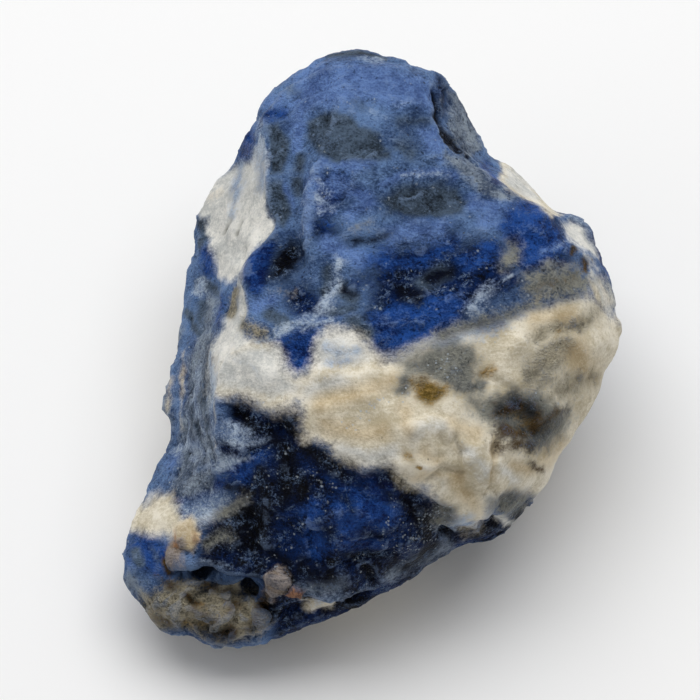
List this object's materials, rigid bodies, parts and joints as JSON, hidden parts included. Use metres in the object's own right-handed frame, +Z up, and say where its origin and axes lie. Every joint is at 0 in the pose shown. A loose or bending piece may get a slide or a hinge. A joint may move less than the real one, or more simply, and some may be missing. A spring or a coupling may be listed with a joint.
{
  "type": "rough sodalite",
  "caption": "Rough broken lump of blue sodalite with a seam of cream calcite, resting on a small flat spot of its back.",
  "frame": {"origin": "middle of the small flat spot on the stone's back, which it rests on", "axes": "+Z up, square to the flat spot; +Y towards the stone's blue head; +X towards its cream calcite corner"},
  "size_m": [0.0414, 0.0476, 0.0253],
  "materials": {
    "sodalite": "satin"
  },
  "bodies": {
    "root": {"rough_sodalite": "sodalite"}
  },
  "joints": []
}
